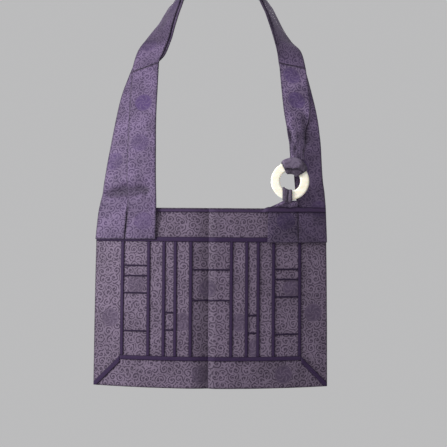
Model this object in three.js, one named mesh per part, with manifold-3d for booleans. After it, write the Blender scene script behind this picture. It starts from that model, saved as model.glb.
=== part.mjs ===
// A rakusu as it is worn: a pieced cloth panel that hangs on the chest from two flat straps laid over each
// other round the neck. On the wearer's left one strap is hitched to a ring and leaves it again as a
// gathered fan sewn to the panel. Millimetres, +Z up, the wearer faces -Y, and the origin is on the nape, in
// the middle of the straps' inner face. "Left" and "right" are as seen from the front.
import * as THREE from "three";
import { mergeVertices } from "three/addons/utils/BufferGeometryUtils.js";
import Module from "manifold-3d";

const wasm = await Module();
wasm.setup();

// ---- cloth and seams -------------------------------------------------------------------------------------
const CLOTH = 1.6; // wall of the pieced panel: figured cloth over its interlining
const TRIM = 1.0; // wall of the plain bands sewn on the panel
const STRAP = 2.0; // wall of a strap, a flat tube of cloth
const GAP = 0.3; // between neighbours at a seam
const LAYER_GAP = 0.4; // between cloth that lies on cloth
const TRIM_BASE = CLOTH + GAP; // height of a band's underside over the panel's back
const FLAP_BASE = TRIM_BASE + TRIM + LAYER_GAP; // height of a strap's underside over the bands

// ---- the panel -------------------------------------------------------------------------------------------
const WIDTH = 323.5;
const HEIGHT = 244.5;
const PANEL_X = -13.6; // middle of the top edge: it hangs a little to one side of the neck
const PANEL_TOP = -340.4;
const PANEL_Y = -172; // back of the cloth in the middle of the top edge
const ROLL = THREE.MathUtils.degToRad(0.4); // its right side hangs lower
const HEM_DIP = 3.5; // the hem sags in the middle
const BORDER = 39.1; // side borders, to the middle of their bands
const TOP_BORDER = 43.3;
const BOTTOM_BORDER = 39.8;
const UPRIGHT = 4.7; // width of the upright bands
const TOP_BAND = 6.8;
const BOTTOM_BAND = 6.0;
const MITRE_BAND = 6.4;
const CROSS_TAPE = 2.2;
const PIPING = { drop: 1.0, height: 4.9, climb: 5, reach: 1.5 }; // climb: the run it rises in to the flaps
const EDGE_INSET = 0.4; // bands stop this short of the panel's edges
const CREASE_U = WIDTH / 2 - 3; // the fold it is stored on
const CREASE = { depthTop: 3.0, depthHem: 5.0, leftFlank: 24, rightFlank: 9 };

// Upright bands by their distance from the middle of the panel.
const UPRIGHTS = [
  { name: "a", from: -122.6 },
  { name: "b", from: -86 },
  { name: "c", from: -64.8 },
  { name: "d", from: -49 },
  { name: "e", from: -27.8 },
  { name: "f", from: 27.8 },
  { name: "g", from: 49 },
  { name: "h", from: 64.8 },
  { name: "i", from: 86 },
  { name: "j", from: 122.6 },
].map((band) => ({ ...band, u: WIDTH / 2 + band.from }));

// The columns between them, with the cross seams of each, down from the panel's top edge.
const COLUMNS = [
  { name: "column_1", seams: [79.5, 93.5, 117, 168.5] },
  { name: "column_2_left", seams: [] },
  { name: "column_2_middle", seams: [143, 166.5] },
  { name: "column_2_right", seams: [] },
  { name: "column_3", seams: [84.5, 126] },
  { name: "column_4_left", seams: [] },
  { name: "column_4_middle", seams: [146, 170] },
  { name: "column_4_right", seams: [] },
  { name: "column_5", seams: [83.5, 97.3, 121.2, 171.8] },
];

// ---- the chest that the cloth follows --------------------------------------------------------------------
const CHEST = {
  radiusAtTop: 460, // how far the panel bows round the chest, at its top edge
  flatten: 1.8, // the radius grows by this much for each mm down the panel
  tighten: 0.3, // and shrinks by this much for each mm above it
  leanBack: 0.0011, // curvature of the chest above the panel
  leanOut: 0.035, // slope of the panel, whose hem hangs forward
};

// ---- the straps ------------------------------------------------------------------------------------------
const STRAP_WIDTH = 39.5;
const LAYER = STRAP + LAYER_GAP; // the upper strap's height over the lower one
const LIFT_FADE = { from: 5, to: 100 }; // heights above the panel between which a strap sinks to the chest
const STEP_UP = { from: 36, to: 8 }; // depths on the panel between which the left upper strap climbs a layer
const STRAP_STEP = 12; // longest step along a strap on the chest
const FOLDS = { count: 2, columns: 12, step: 9, fanStep: 5 }; // of the gathered stretches at the ring

// Edges of each strap on the chest, by height: x of its inner edge, on the neck's side, and of its outer
// edge, and how much higher the inner edge lies.
const LEFT_UPPER = [
  { z: -383.6, inner: -89.9, outer: -129.6, slant: 0 },
  { z: -341, inner: -88.2, outer: -128.6, slant: 0 },
  { z: -300, inner: -89.0, outer: -129.4, slant: 0 },
  { z: -255, inner: -89.6, outer: -129.4, slant: 0 },
  { z: -215, inner: -89.8, outer: -128.0, slant: 1 },
  { z: -178, inner: -88.4, outer: -126.4, slant: 4 },
  { z: -144, inner: -87.0, outer: -125.6, slant: 14 },
];
const LEFT_LOWER = [
  { z: -383.6, inner: -130.1, outer: -170.0, slant: 0 },
  { z: -346, inner: -128.6, outer: -167.6, slant: 0 },
  { z: -322, inner: -123.6, outer: -163.6, slant: 1 },
  { z: -271, inner: -116.6, outer: -156.2, slant: 2 },
  { z: -215, inner: -107.6, outer: -147.2, slant: 5 },
  { z: -178, inner: -100.2, outer: -139.6, slant: 9 },
  { z: -144.5, inner: -89.8, outer: -128.8, slant: 14 },
];
const RIGHT_LOWER = [
  { z: -388.6, inner: 105.5, outer: 146.6, slant: 0 },
  { z: -341, inner: 105.3, outer: 145.2, slant: 0 },
  { z: -300, inner: 100.4, outer: 139.9, slant: 0 },
  { z: -255, inner: 99.0, outer: 138.4, slant: 1 },
  { z: -215, inner: 95.2, outer: 134.6, slant: 2 },
  { z: -178, inner: 88.2, outer: 127.2, slant: 5 },
  { z: -141, inner: 80.8, outer: 118.6, slant: 8 },
];
// The upper strap on the ring's side narrows downward into its knot, in folds that stand forward.
const RIGHT_UPPER = [
  { z: -274.0, inner: 91.0, outer: 110.8, slant: 0, fold: 2.6, lift: 9.8 },
  { z: -263, inner: 93.6, outer: 112.4, slant: 0, fold: 2.8, lift: 6.6 },
  { z: -252, inner: 94.8, outer: 113.8, slant: 0, fold: 2.8, lift: 4.0 },
  { z: -240, inner: 92.4, outer: 115.2, slant: 0, fold: 2.4, lift: 2.2 },
  { z: -228, inner: 89.4, outer: 118.2, slant: 1, fold: 1.6, lift: 1.0 },
  { z: -212, inner: 86.8, outer: 122.4, slant: 2, fold: 0.5, lift: 0.3 },
  { z: -185, inner: 84.0, outer: 122.6, slant: 4, fold: 0, lift: 0 },
  { z: -141, inner: 80.6, outer: 118.4, slant: 8, fold: 0, lift: 0 },
];
// The strap's other end leaves the ring gathered and fans out to its full width, sewn flat on the panel.
const RING_END = [
  { z: -388.2, inner: 63.0, outer: 104.9, slant: 0, fold: 0, lift: 0 },
  { z: -347, inner: 63.6, outer: 104.6, slant: 0, fold: 0, lift: 0 },
  { z: -340.2, inner: 65.0, outer: 103.6, slant: 0, fold: 0, lift: 0 },
  { z: -337, inner: 70.6, outer: 103.6, slant: 0, fold: 1.8, lift: 1.2 },
  { z: -333.3, inner: 78.6, outer: 102.8, slant: 0, fold: 2.2, lift: 3.0 },
];

// The middle of the upper strap from each neck seam to the nape: where it lies, the compass direction that
// the cloth faces (0 is forward, 90 outward, 180 back), how far it leans up from upright, in degrees, and
// how far outward the lower strap has slipped under it.
const LEFT_NECK = [
  { x: -99.4, y: -105, z: -121, faces: 19, leans: 29, slip: -2.5 },
  { x: -89.6, y: -91, z: -101.5, faces: 33, leans: 31, slip: -3 },
  { x: -82.2, y: -79, z: -84.4, faces: 49, leans: 34, slip: -4 },
  { x: -75.4, y: -68, z: -69.5, faces: 62, leans: 36, slip: -5 },
  { x: -68.3, y: -54, z: -51.5, faces: 70, leans: 37, slip: -6 },
  { x: -62, y: -41, z: -36.1, faces: 81, leans: 36, slip: -6 },
  { x: -49, y: -22, z: -18.5, faces: 118, leans: 30, slip: -4 },
  { x: -27, y: -6, z: -5.5, faces: 150, leans: 22, slip: -2 },
];
const RIGHT_NECK = [
  { x: 95.2, y: -106, z: -120.3, faces: 33, leans: 27, slip: -0.6 },
  { x: 86.9, y: -91, z: -101.5, faces: 56, leans: 31, slip: -2.2 },
  { x: 79.4, y: -79, z: -84.4, faces: 69, leans: 34, slip: -3.4 },
  { x: 73.6, y: -68, z: -69.5, faces: 75, leans: 36, slip: -4 },
  { x: 66.3, y: -54, z: -51.5, faces: 77, leans: 37, slip: -4 },
  { x: 60.5, y: -41, z: -36.1, faces: 85, leans: 36, slip: -4 },
  { x: 49, y: -22, z: -18.5, faces: 118, leans: 30, slip: -3 },
  { x: 27, y: -6, z: -5.5, faces: 150, leans: 22, slip: -1.5 },
];
const NAPE = { x: 0, y: 0, z: 0, faces: 180, leans: 16, slip: 0 };

// ---- the ring --------------------------------------------------------------------------------------------
const RING = { x: 94.7, y: -168.2, z: -303.2, outer: 26.4, inner: 14, thick: 6.4, round: 2.4 };
// Cloth drawn round the ring: from and to which angle, counted up from the right, and how thick it lies on
// the ring's rim and on its faces.
const KNOT = { from: 38, to: 111, onRim: 4.4, onFace: 3.6 };
const LOOP = { from: 242, to: 276, onRim: 3.6, onFace: 3.0 };
const THIN_END = 0.72; // how much of that thickness is left at their ends

// ---- tools -----------------------------------------------------------------------------------------------
const lerp = THREE.MathUtils.lerp;
const smooth = THREE.MathUtils.smoothstep;

// Numbers from a to b, at most step apart, with any that must be among them.
function steps(a, b, step, fixed = []) {
  const stops = [a, ...fixed.filter((x) => x > a + 1 && x < b - 1), b];
  const all = [a];
  for (let k = 1; k < stops.length; k++) {
    const count = Math.max(1, Math.round((stops[k] - stops[k - 1]) / step));
    for (let n = 1; n <= count; n++) all.push(lerp(stops[k - 1], stops[k], n / count));
  }
  return all;
}

// Outward normals of a grid of points: rows run on, columns run across, and rows x columns points outward.
function normals(grid) {
  const last = grid.length - 1;
  const end = grid[0].length - 1;
  return grid.map((row, i) =>
    row.map((_, j) => {
      const on = grid[Math.min(i + 1, last)][j].clone().sub(grid[Math.max(i - 1, 0)][j]);
      const across = row[Math.min(j + 1, end)].clone().sub(row[Math.max(j - 1, 0)]);
      return on.cross(across).normalize();
    }),
  );
}

// A closed wall of cloth over a grid of points, from height near(i, j) to height far(i, j) along its normals.
function wall(grid, near, far, at = normals(grid)) {
  const rows = grid.length;
  const columns = grid[0].length;
  const points = [];
  for (const height of [far, near])
    grid.forEach((row, i) =>
      row.forEach((p, j) => {
        const h = typeof height === "number" ? height : height(i, j);
        points.push(...p.clone().addScaledVector(at[i][j], h).toArray());
      }),
    );
  const index = [];
  const back = rows * columns;
  const id = (i, j) => i * columns + j;
  for (let i = 0; i < rows - 1; i++)
    for (let j = 0; j < columns - 1; j++) {
      const [a, b, c, d] = [id(i, j), id(i, j + 1), id(i + 1, j), id(i + 1, j + 1)];
      index.push(a, c, d, a, d, b);
      index.push(back + a, back + d, back + c, back + a, back + b, back + d);
    }
  const rim = [];
  for (let j = 0; j < columns - 1; j++) rim.push(id(0, j));
  for (let i = 0; i < rows - 1; i++) rim.push(id(i, columns - 1));
  for (let j = columns - 1; j > 0; j--) rim.push(id(rows - 1, j));
  for (let i = rows - 1; i > 0; i--) rim.push(id(i, 0));
  rim.forEach((a, k) => {
    const b = rim[(k + 1) % rim.length];
    index.push(a, b, back + b, a, back + b, back + a);
  });
  const geometry = new THREE.BufferGeometry();
  geometry.setAttribute("position", new THREE.Float32BufferAttribute(points, 3));
  geometry.setIndex(index);
  geometry.computeVertexNormals();
  return geometry;
}

// A value from a table of rows, at a height z, by a smooth curve through the rows.
function fromTable(rows, key, z) {
  let k = 0;
  while (k < rows.length - 2 && z > rows[k + 1].z) k++;
  const row = (n) => rows[THREE.MathUtils.clamp(n, 0, rows.length - 1)];
  const [a, b] = [row(k), row(k + 1)];
  const t = (z - a.z) / (b.z - a.z);
  const slope = (n) => (row(n + 1)[key] - row(n - 1)[key]) / (row(n + 1).z - row(n - 1).z);
  const span = b.z - a.z;
  const [m0, m1] = [slope(k) * span, slope(k + 1) * span];
  return (
    (2 * t ** 3 - 3 * t ** 2 + 1) * a[key] +
    (t ** 3 - 2 * t ** 2 + t) * m0 +
    (3 * t ** 2 - 2 * t ** 3) * b[key] +
    (t ** 3 - t ** 2) * m1
  );
}

// ---- surfaces --------------------------------------------------------------------------------------------
const chestRadius = (z) => {
  const down = PANEL_TOP - z;
  return CHEST.radiusAtTop + down * (down > 0 ? CHEST.flatten : CHEST.tighten);
};

// The back of the cloth at a place on the chest.
function chestPoint(x, z) {
  const up = Math.max(0, z - PANEL_TOP);
  const down = Math.max(0, PANEL_TOP - z);
  const radius = chestRadius(z);
  const bow = radius - Math.sqrt(radius ** 2 - (x - PANEL_X) ** 2);
  return new THREE.Vector3(x, PANEL_Y + bow + CHEST.leanBack * up ** 2 - CHEST.leanOut * down, z);
}

// How far the stored fold dents the panel at u across and v down.
function creaseDepth(u, v) {
  const side = u < CREASE_U ? CREASE.leftFlank : CREASE.rightFlank;
  const near = Math.max(0, 1 - Math.abs(u - CREASE_U) / side);
  return lerp(CREASE.depthTop, CREASE.depthHem, v / HEIGHT) * near ** 1.4;
}

// The back of the panel at u across from its left edge and v down from its top edge.
function panelPoint(u, v) {
  const radius = chestRadius(PANEL_TOP - v);
  const across = radius * Math.sin((u - WIDTH / 2) / radius);
  const sag = HEM_DIP * (v / HEIGHT) ** 2 * (1 - (2 * u / WIDTH - 1) ** 2);
  const x = PANEL_X + across * Math.cos(ROLL) - v * Math.sin(ROLL);
  const z = PANEL_TOP - v * Math.cos(ROLL) - across * Math.sin(ROLL);
  const point = chestPoint(x, z);
  point.y += creaseDepth(u, v);
  point.z -= sag;
  return point;
}

// ---- materials and nodes ---------------------------------------------------------------------------------
const figured = new THREE.MeshStandardMaterial({ color: 0x7b6a86, roughness: 0.62 });
const plain = new THREE.MeshStandardMaterial({ color: 0x3f2c52, roughness: 0.7 });
const ivory = new THREE.MeshStandardMaterial({ color: 0xf4efdf, roughness: 0.3 });

const rakusu = new THREE.Group();
function add(name, geometry, material) {
  const mesh = new THREE.Mesh(geometry, material);
  mesh.name = name;
  rakusu.add(mesh);
}

// ---- the panel's pieces ----------------------------------------------------------------------------------
const ACROSS = 13; // longest step of a panel piece across
const DOWN = 20; // and down
const CREASE_STOPS = [-24, -14, -7, 0, 4, 9].map((du) => CREASE_U + du); // columns that follow the fold
const FIGURED = { material: figured, near: 0, far: CLOTH };
const BAND = { material: plain, near: TRIM_BASE, far: TRIM_BASE + TRIM };

// A piece between a left and a right edge and two heights down the panel.
function panelPiece(name, layer, left, right, top, bottom) {
  const across = steps(left, right, ACROSS, CREASE_STOPS);
  const grid = steps(top, bottom, DOWN).map((v) => across.map((u) => panelPoint(u, v)));
  add(name, wall(grid, layer.near, layer.far), layer.material);
}

function panelBorders() {
  const half = GAP / 2;
  panelPiece("border_top", FIGURED, 0, WIDTH, 0, TOP_BORDER - half);
  const inner = steps(BORDER + half, WIDTH - BORDER - half, ACROSS, CREASE_STOPS);
  const bottom = steps(0, 1, 1 / 2).map((t) => {
    const v = lerp(HEIGHT - BOTTOM_BORDER + half, HEIGHT, t);
    const mitre = lerp(BORDER + half, half, t);
    return [mitre, ...inner.slice(1, -1), WIDTH - mitre].map((u) => panelPoint(u, v));
  });
  add("border_bottom", wall(bottom, 0, CLOTH), figured);
  for (const side of ["left", "right"]) {
    const grid = steps(0, 1, 1 / 10).map((t) =>
      steps(0, BORDER - half, ACROSS).map((inward) => {
        const lowest = HEIGHT - (BOTTOM_BORDER * inward) / BORDER - GAP;
        const v = lerp(TOP_BORDER + half, lowest, t);
        return panelPoint(side === "left" ? inward : WIDTH - inward, v);
      }),
    );
    if (side === "right") grid.forEach((row) => row.reverse());
    add("border_" + side, wall(grid, 0, CLOTH), figured);
  }
}

function panelColumns() {
  const half = GAP / 2;
  COLUMNS.forEach((column, k) => {
    const left = UPRIGHTS[k].u + half;
    const right = UPRIGHTS[k + 1].u - half;
    const lowest = HEIGHT - BOTTOM_BORDER - half;
    panelPiece(column.name, FIGURED, left, right, TOP_BORDER + half, lowest);
  });
}

function panelBands() {
  const top = TOP_BORDER + TOP_BAND / 2;
  const low = HEIGHT - BOTTOM_BORDER - BOTTOM_BAND / 2;
  const reach = UPRIGHT / 2;
  const first = UPRIGHTS[0].u - reach;
  const last = UPRIGHTS[UPRIGHTS.length - 1].u + reach;
  for (const band of UPRIGHTS)
    panelPiece("band_" + band.name, BAND, band.u - reach, band.u + reach, top + GAP, low - GAP);
  panelPiece("band_top", BAND, EDGE_INSET, WIDTH - EDGE_INSET, top - TOP_BAND, top);
  panelPiece("band_bottom", BAND, first, last, low, low + BOTTOM_BAND);
  COLUMNS.forEach((column, k) => {
    const left = UPRIGHTS[k].u + reach + GAP;
    const right = UPRIGHTS[k + 1].u - reach - GAP;
    column.seams.forEach((v, n) => {
      const name = `${column.name}_tape_${n + 1}`;
      panelPiece(name, BAND, left, right, v - CROSS_TAPE / 2, v + CROSS_TAPE / 2);
    });
  });
}

// The bands along the mitred corners, from the bottom band's ends to the panel's corners, where they end
// square with its sides.
function mitreBands() {
  const slope = BOTTOM_BORDER / BORDER;
  const rise = (MITRE_BAND / 2) * Math.hypot(1, slope); // half the band's height on an upright line
  const start = UPRIGHTS[0].u - UPRIGHT / 2 - GAP;
  const last = HEIGHT - EDGE_INSET;
  const starts = [-rise, 0, rise].map((dv) => [start, HEIGHT - slope * start + dv]);
  const ends = [
    [EDGE_INSET, last - rise],
    [EDGE_INSET, last],
    [EDGE_INSET + rise / slope, last],
  ];
  for (const side of ["left", "right"]) {
    const grid = steps(0, 1, 1 / 4).map((t) =>
      starts.map((from, k) => {
        const u = lerp(from[0], ends[k][0], t);
        return panelPoint(side === "left" ? u : WIDTH - u, lerp(from[1], ends[k][1], t));
      }),
    );
    if (side === "right") grid.forEach((row) => row.reverse());
    add("band_mitre_" + side, wall(grid, BAND.near, BAND.far), plain);
  }
}

// The top edge's piping runs under the left straps and over the right ones.
function topPiping() {
  const climb = FLAP_BASE + STRAP + LAYER_GAP - TRIM_BASE;
  const flap = WIDTH / 2 + RING_END[0].inner - PANEL_X - PIPING.reach;
  const rise = [flap - PIPING.climb, flap];
  const across = steps(EDGE_INSET, WIDTH - EDGE_INSET, ACROSS, [...CREASE_STOPS, ...rise]);
  const near = (i, j) => TRIM_BASE + climb * smooth(across[j], ...rise);
  const grid = steps(PIPING.drop, PIPING.drop + PIPING.height, PIPING.height / 2).map((v) =>
    across.map((u) => panelPoint(u, v)),
  );
  add("piping_top", wall(grid, near, (i, j) => near(i, j) + TRIM), plain);
}

// ---- the straps on the chest -----------------------------------------------------------------------------
const flapLift = (z) =>
  FLAP_BASE * (1 - smooth(z, PANEL_TOP + LIFT_FADE.from, PANEL_TOP + LIFT_FADE.to));
const heightsOf = (rows, step) =>
  steps(rows[0].z, rows[rows.length - 1].z, step, [PANEL_TOP]);

// A strap's section on the chest at height z: its points from the inner edge (t = 0) to the outer (t = 1).
function chestSection(rows, z) {
  const slant = fromTable(rows, "slant", z) / 2;
  const [inner, outer] = [fromTable(rows, "inner", z), fromTable(rows, "outer", z)];
  const at = (t) => chestPoint(lerp(inner, outer, t), z + lerp(slant, -slant, t));
  return { inner: at(0), outer: at(1), at };
}

// Sections round the neck from the left seam to the right one, without the seams' own. The lower strap's
// lie outward by its slip.
function neckSections(leftSeam, rightSeam, slipped) {
  const rows = [...LEFT_NECK, NAPE, ...RIGHT_NECK.slice().reverse()];
  const middle = (s) => s.inner.clone().lerp(s.outer, 0.5);
  const line = [
    middle(leftSeam),
    ...rows.map((row) => new THREE.Vector3(row.x, row.y, row.z)),
    middle(rightSeam),
  ];
  return rows.map((row, n) => {
    const [faces, leans] = [row.faces, row.leans].map(THREE.MathUtils.degToRad);
    const out = new THREE.Vector3(
      Math.sign(row.x) * Math.sin(faces) * Math.cos(leans),
      -Math.cos(faces) * Math.cos(leans),
      Math.sin(leans),
    );
    const on = line[n + 2].clone().sub(line[n]).normalize();
    const across = out.cross(on).normalize();
    const slip = slipped ? row.slip : 0;
    return {
      inner: line[n + 1].clone().addScaledVector(across, slip - STRAP_WIDTH / 2),
      outer: line[n + 1].clone().addScaledVector(across, slip + STRAP_WIDTH / 2),
    };
  });
}

// A whole strap as a grid, from its left end up, round the neck and down to its right end, with the heights
// of its rows on the chest and the rows of its two neck seams.
function strapGrid(leftRows, rightRows, slipped, columns, step) {
  const [leftZ, rightZ] = [heightsOf(leftRows, step), heightsOf(rightRows, step).reverse()];
  const left = leftZ.map((z) => chestSection(leftRows, z));
  const right = rightZ.map((z) => chestSection(rightRows, z));
  const neck = neckSections(left[left.length - 1], right[0], slipped);
  const near = 3; // rows of the chest that guide the curve into the neck
  const finer = 3; // rows of the grid for each of the neck's
  const guides = [...left.slice(-near), ...neck, ...right.slice(0, near)];
  const curves = ["inner", "outer"].map(
    (edge) => new THREE.CatmullRomCurve3(guides.map((s) => s[edge]), false, "centripetal"),
  );
  const round = [];
  for (let n = 1; n < finer * (neck.length + 1); n++) {
    const t = (near - 1 + n / finer) / (guides.length - 1);
    const [inner, outer] = curves.map((curve) => curve.getPoint(t));
    round.push({ at: (across) => inner.clone().lerp(outer, across) });
  }
  const sections = [...left, ...round, ...right];
  return {
    grid: sections.map((s) => Array.from({ length: columns + 1 }, (_, j) => s.at(j / columns))),
    z: [...leftZ, ...round.map(() => leftZ[leftZ.length - 1]), ...rightZ],
    seams: [left.length - 1, left.length + round.length],
  };
}

// One piece of a strap, between two rows, parted from the next piece by the gap at a seam.
function strapPiece(name, strap, from, to, base) {
  const at = normals(strap.grid);
  const last = strap.grid.length - 1;
  const part = (i) => {
    const seam = i === from && from > 0 ? 1 : i === to && to < last ? -1 : 0;
    return strap.grid[i].map((p, j) => {
      if (!seam) return p.clone();
      const step = strap.grid[i + seam][j].clone().sub(p).normalize();
      return p.clone().addScaledVector(step, GAP / 2);
    });
  };
  const rows = Array.from({ length: to - from + 1 }, (_, k) => from + k);
  const grid = rows.map(part);
  const near = (i, j) => base(strap.z[rows[i]], j);
  add(name, wall(grid, near, (i, j) => near(i, j) + STRAP, at.slice(from, to + 1)), figured);
}

function straps() {
  const lower = strapGrid(LEFT_LOWER, RIGHT_LOWER, true, 4, STRAP_STEP);
  const upper = strapGrid(LEFT_UPPER, RIGHT_UPPER, false, 4, STRAP_STEP);
  const stepUp = (z) => LAYER * smooth(z, PANEL_TOP - STEP_UP.from, PANEL_TOP - STEP_UP.to);
  const high = (z) => flapLift(z) + stepUp(z);
  const end = (strap) => strap.grid.length - 1;
  strapPiece("strap_lower_left", lower, 0, lower.seams[0], flapLift);
  strapPiece("strap_lower_neck", lower, ...lower.seams, flapLift);
  strapPiece("strap_lower_right", lower, lower.seams[1], end(lower), flapLift);
  strapPiece("strap_upper_left", upper, 0, upper.seams[0], high);
  strapPiece("strap_upper_neck", upper, ...upper.seams, high);

  // Both stretches at the ring stand in folds, and the upper one lies over the lower strap.
  const foldedHeight = (rows, layer) => (z, j) => {
    const wave = (1 - Math.cos((2 * Math.PI * FOLDS.count * j) / FOLDS.columns)) / 2;
    const [lift, fold] = ["lift", "fold"].map((key) => Math.max(0, fromTable(rows, key, z)));
    return flapLift(z) + layer + lift + fold * wave;
  };
  const knotted = strapGrid(LEFT_UPPER, RIGHT_UPPER, false, FOLDS.columns, FOLDS.step);
  strapPiece(
    "strap_upper_right",
    knotted,
    knotted.seams[1],
    end(knotted),
    foldedHeight(RIGHT_UPPER, LAYER),
  );
  const heights = heightsOf(RING_END, FOLDS.fanStep).reverse();
  const fan = heights.map((z) => {
    const section = chestSection(RING_END, z);
    return Array.from({ length: FOLDS.columns + 1 }, (_, j) => section.at(j / FOLDS.columns));
  });
  const fanned = foldedHeight(RING_END, 0);
  const near = (i, j) => fanned(heights[i], j);
  add("strap_ring_end", wall(fan, near, (i, j) => near(i, j) + STRAP), figured);
}

// ---- the ring and the cloth drawn round it ---------------------------------------------------------------
// The ring's section, grown by some clearance, turned about the Y axis.
function ringGeometry(grow) {
  const profile = new THREE.Path();
  const [inner, outer, y] = [RING.inner - grow, RING.outer + grow, RING.thick / 2 + grow];
  const r = RING.round;
  profile.moveTo(inner + r, -y);
  profile.lineTo(outer - r, -y);
  profile.absarc(outer - r, -y + r, r, -Math.PI / 2, 0, false);
  profile.lineTo(outer, y - r);
  profile.absarc(outer - r, y - r, r, 0, Math.PI / 2, false);
  profile.lineTo(inner + r, y);
  profile.absarc(inner + r, y - r, r, Math.PI / 2, Math.PI, false);
  profile.lineTo(inner, -y + r);
  profile.absarc(inner + r, -y + r, r, Math.PI, 1.5 * Math.PI, false);
  const points = profile.getPoints(2);
  const section = points.filter((p, k) => k === 0 || p.distanceTo(points[k - 1]) > 0.01);
  section[section.length - 1] = section[0].clone();
  return new THREE.LatheGeometry(section, 40).translate(RING.x, RING.y, RING.z);
}

// A solid bead of cloth along the ring between two angles, thickest in its middle.
function beadGeometry(cloth) {
  const along = 10;
  const around = 16;
  const middle = (RING.inner + RING.outer) / 2;
  const points = [];
  const index = [];
  for (let i = 0; i <= along; i++) {
    const angle = THREE.MathUtils.degToRad(lerp(cloth.from, cloth.to, i / along));
    const full = lerp(THIN_END, 1, Math.sin((Math.PI * i) / along));
    const across = (RING.outer - RING.inner) / 2 + cloth.onRim * full;
    const deep = RING.thick / 2 + cloth.onFace * full;
    for (let j = 0; j < around; j++) {
      const turn = (2 * Math.PI * j) / around;
      const soft = 1 / Math.hypot(Math.cos(turn) ** 2, Math.sin(turn) ** 2) ** 0.5;
      const radius = middle + across * Math.cos(turn) * soft;
      points.push(
        RING.x + radius * Math.cos(angle),
        RING.y + deep * Math.sin(turn) * soft,
        RING.z + radius * Math.sin(angle),
      );
    }
  }
  const id = (i, j) => i * around + (j % around);
  for (let i = 0; i < along; i++)
    for (let j = 0; j < around; j++) {
      index.push(id(i, j), id(i, j + 1), id(i + 1, j + 1));
      index.push(id(i, j), id(i + 1, j + 1), id(i + 1, j));
    }
  for (let j = 1; j < around - 1; j++) {
    index.push(id(0, 0), id(0, j + 1), id(0, j));
    index.push(id(along, 0), id(along, j), id(along, j + 1));
  }
  const geometry = new THREE.BufferGeometry();
  geometry.setAttribute("position", new THREE.Float32BufferAttribute(points, 3));
  geometry.setIndex(index);
  return geometry;
}

function solid(geometry) {
  geometry.deleteAttribute("normal");
  geometry.deleteAttribute("uv");
  const merged = mergeVertices(geometry, 1e-4);
  return new wasm.Manifold(
    new wasm.Mesh({
      numProp: 3,
      vertProperties: new Float32Array(merged.attributes.position.array),
      triVerts: new Uint32Array(merged.index.array),
    }),
  );
}

function geometryOf(manifold) {
  const mesh = manifold.getMesh();
  const geometry = new THREE.BufferGeometry();
  geometry.setAttribute("position", new THREE.BufferAttribute(mesh.vertProperties, 3));
  geometry.setIndex(new THREE.BufferAttribute(mesh.triVerts, 1));
  geometry.computeVertexNormals();
  return geometry;
}

function ringAndKnots() {
  add("ring", ringGeometry(0), ivory);
  const room = solid(ringGeometry(GAP));
  add("knot", geometryOf(solid(beadGeometry(KNOT)).subtract(room)), figured);
  add("ring_loop", geometryOf(solid(beadGeometry(LOOP)).subtract(room)), figured);
}

ringAndKnots();
straps();
panelBorders();
panelColumns();
panelBands();
mitreBands();
topPiping();

export default rakusu;
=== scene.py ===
# The looks of a rakusu as it is worn: every piece of its cloth as a fine shell on its solid's form, the ring,
# the cloth knotted on it, and their materials. Sizes are in millimetres and become metres in add_piece().
# "Left" and "right" are as seen from the front. u runs across the panel from its left edge, v runs down it.
import math

import bpy
import numpy as np
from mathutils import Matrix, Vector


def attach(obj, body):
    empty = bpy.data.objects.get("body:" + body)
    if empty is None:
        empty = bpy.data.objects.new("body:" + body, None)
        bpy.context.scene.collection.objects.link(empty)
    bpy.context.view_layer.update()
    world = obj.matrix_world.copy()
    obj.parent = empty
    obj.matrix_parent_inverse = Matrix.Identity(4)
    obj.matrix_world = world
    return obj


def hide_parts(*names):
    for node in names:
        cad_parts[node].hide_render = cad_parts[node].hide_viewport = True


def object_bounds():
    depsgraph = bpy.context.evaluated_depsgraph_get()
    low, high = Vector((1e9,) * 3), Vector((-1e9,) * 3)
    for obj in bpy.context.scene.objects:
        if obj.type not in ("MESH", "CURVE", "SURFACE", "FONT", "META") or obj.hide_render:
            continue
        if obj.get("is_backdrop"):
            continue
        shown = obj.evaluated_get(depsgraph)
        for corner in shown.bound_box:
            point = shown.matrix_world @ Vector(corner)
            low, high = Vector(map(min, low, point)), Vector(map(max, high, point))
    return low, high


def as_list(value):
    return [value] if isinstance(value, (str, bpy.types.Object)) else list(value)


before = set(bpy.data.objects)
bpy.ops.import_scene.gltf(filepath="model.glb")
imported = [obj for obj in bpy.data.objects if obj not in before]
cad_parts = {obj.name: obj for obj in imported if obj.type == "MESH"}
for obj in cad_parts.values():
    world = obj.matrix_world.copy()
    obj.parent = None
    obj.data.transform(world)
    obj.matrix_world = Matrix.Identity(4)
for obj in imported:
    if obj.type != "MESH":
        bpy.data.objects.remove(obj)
cad_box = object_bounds()

MM = 0.001

# ---- cloth and seams ----
CLOTH = 1.6
TRIM = 1.0
STRAP = 2.0
SKIN = 0.5  # the figured cloth itself, as the straps' tube has it
SEAM = 0.1
LAYER_GAP = 0.4
TRIM_BASE = 1.9
TRIM_SEAT = 1.64  # the bands' underside, sewn down on the cloth
FLAP_BASE = TRIM_BASE + TRIM + LAYER_GAP
ROUND = {"cloth": 0.8, "trim": 0.5, "strap": 1.0}  # how far the folded edges round away
ROUND_STEPS = (0.1, 0.4, 1)  # where rows lie on that way
FINE = 2.4  # longest step of a piece
TRIM_STEP = 1.2  # and of what is narrower than NARROW
NARROW = 8
STRAP_STEP = 3.0  # along the straps on the chest
FAN_STEP = 1.6  # and along the fan below the ring

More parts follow.
